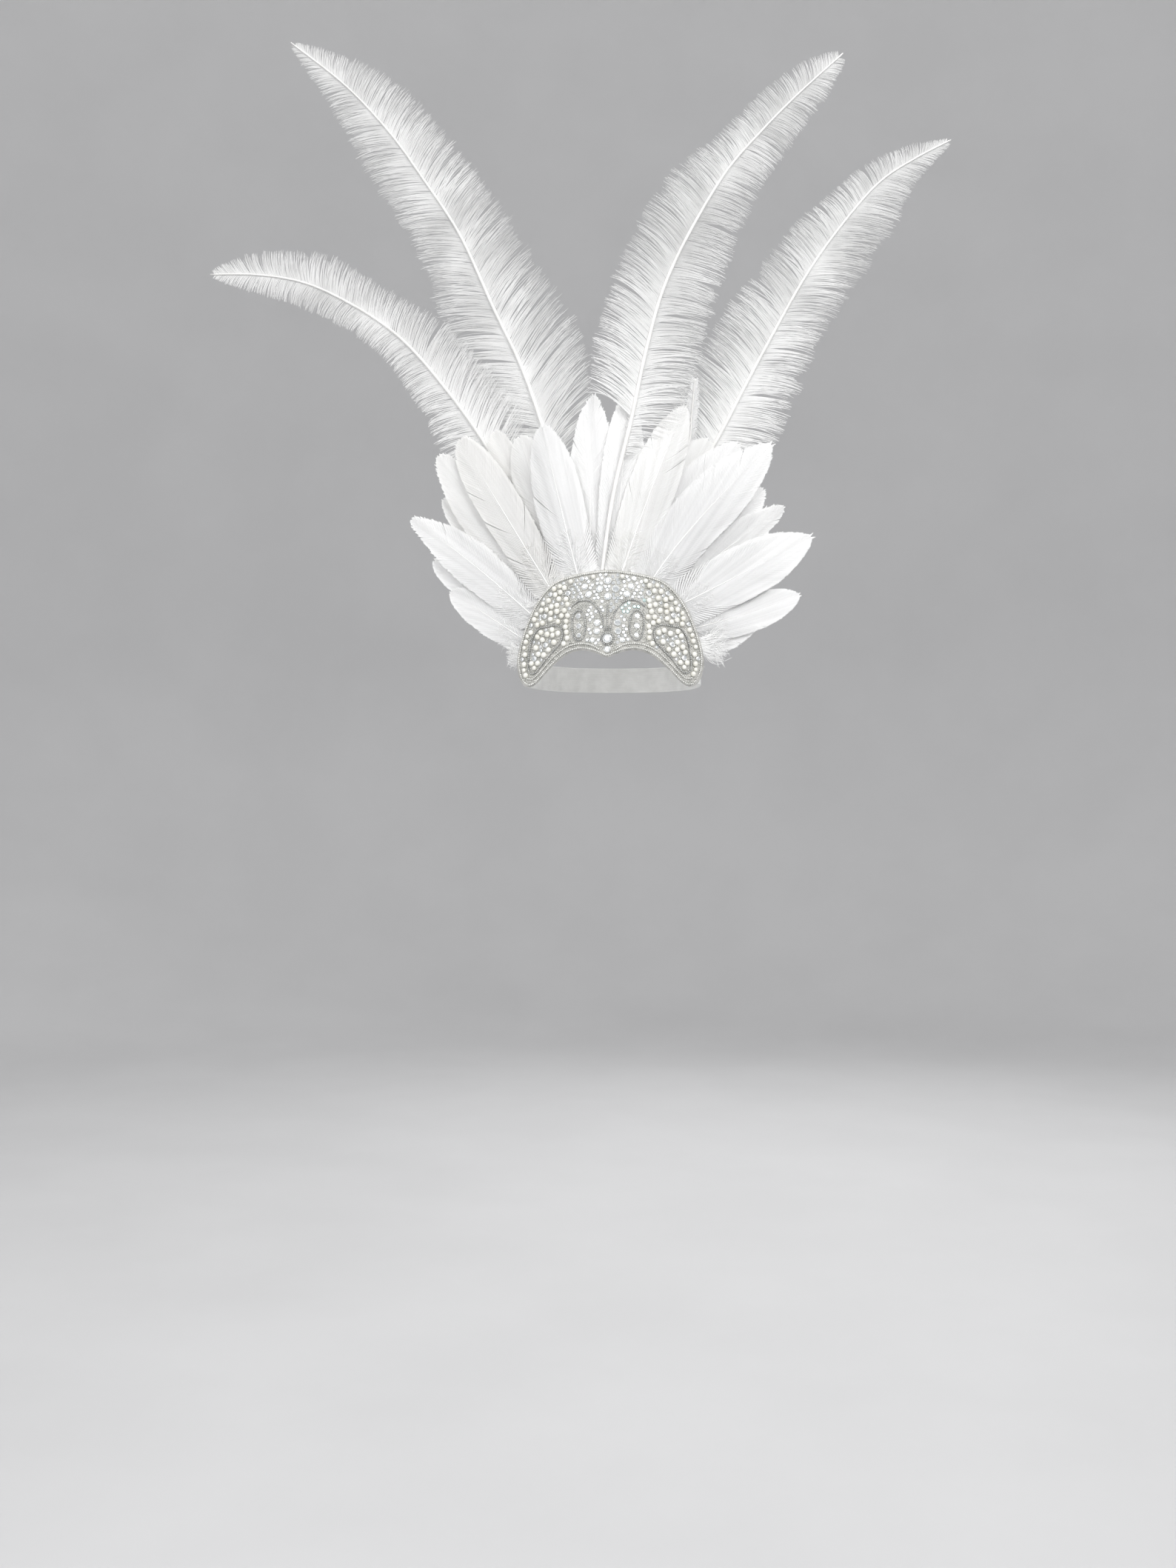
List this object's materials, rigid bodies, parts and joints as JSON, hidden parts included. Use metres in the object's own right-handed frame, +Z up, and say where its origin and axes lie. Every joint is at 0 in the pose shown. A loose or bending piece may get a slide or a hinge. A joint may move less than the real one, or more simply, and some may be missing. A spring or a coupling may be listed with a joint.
{
  "type": "feather headdress",
  "caption": "Stage headdress: a beaded crescent headband with a fan of white goose feathers, tall ostrich plumes and an elastic strap round the back of the head.",
  "frame": {"origin": "middle of the loop that sits on the head, at the level of the band's lower ends", "axes": "+Z up, the wearer faces -Y, +X to the viewer's right"},
  "size_m": [0.7736, 0.2611, 0.7135],
  "materials": {
    "beaded_net": "stiff net sewn all over with silver beads and cream pearls",
    "cut_crystal": "clear faceted crystal, foiled back",
    "silver_beads": "silver-lined seed beads",
    "goose_feather": "white satin feather",
    "ostrich_plume": "soft white barbs",
    "down": "soft white down",
    "elastic": "white ribbed elastic"
  },
  "bodies": {
    "root": {"crescent_headband": "beaded_net", "point_crystal": "cut_crystal", "ring_crystal": "cut_crystal", "upper_crystal_left": "cut_crystal", "upper_crystal_right": "cut_crystal", "top_crystal": "cut_crystal", "middle_crystal": "cut_crystal", "cluster_crystal_1_left": "cut_crystal", "cluster_crystal_1_right": "cut_crystal", "cluster_crystal_2_left": "cut_crystal", "cluster_crystal_2_right": "cut_crystal", "rim_bead_string": "silver_beads", "middle_stem_string": "silver_beads", "lower_bead_line_left": "silver_beads", "lower_bead_line_right": "silver_beads", "side_oval_string_left": "silver_beads", "side_oval_string_right": "silver_beads", "leaf_string_left": "silver_beads", "leaf_string_right": "silver_beads", "scroll_string_left": "silver_beads", "scroll_string_right": "silver_beads", "goose_feather_left_1": "goose_feather", "goose_feather_left_2": "goose_feather", "goose_feather_left_3": "goose_feather", "goose_feather_left_4": "goose_feather", "goose_feather_left_5": "goose_feather", "goose_feather_left_6": "goose_feather", "goose_feather_left_7": "goose_feather", "goose_feather_left_8": "goose_feather", "goose_feather_left_9": "goose_feather", "goose_feather_left_10": "goose_feather", "goose_feather_middle_1": "goose_feather", "goose_feather_middle_2": "goose_feather", "goose_feather_middle_3": "goose_feather", "goose_feather_right_9": "goose_feather", "goose_feather_right_8": "goose_feather", "goose_feather_right_7": "goose_feather", "goose_feather_right_6": "goose_feather", "goose_feather_right_5": "goose_feather", "goose_feather_right_4": "goose_feather", "goose_feather_right_3": "goose_feather", "goose_feather_right_2": "goose_feather", "goose_feather_right_1": "goose_feather", "ostrich_plume_far_left": "ostrich_plume", "ostrich_plume_tall_left": "ostrich_plume", "ostrich_plume_tall_right": "ostrich_plume", "ostrich_plume_right": "ostrich_plume", "narrow_quill_feather": "ostrich_plume", "down_tuft_left": "down", "down_tuft_right": "down", "back_strap": "elastic"}
  },
  "joints": []
}
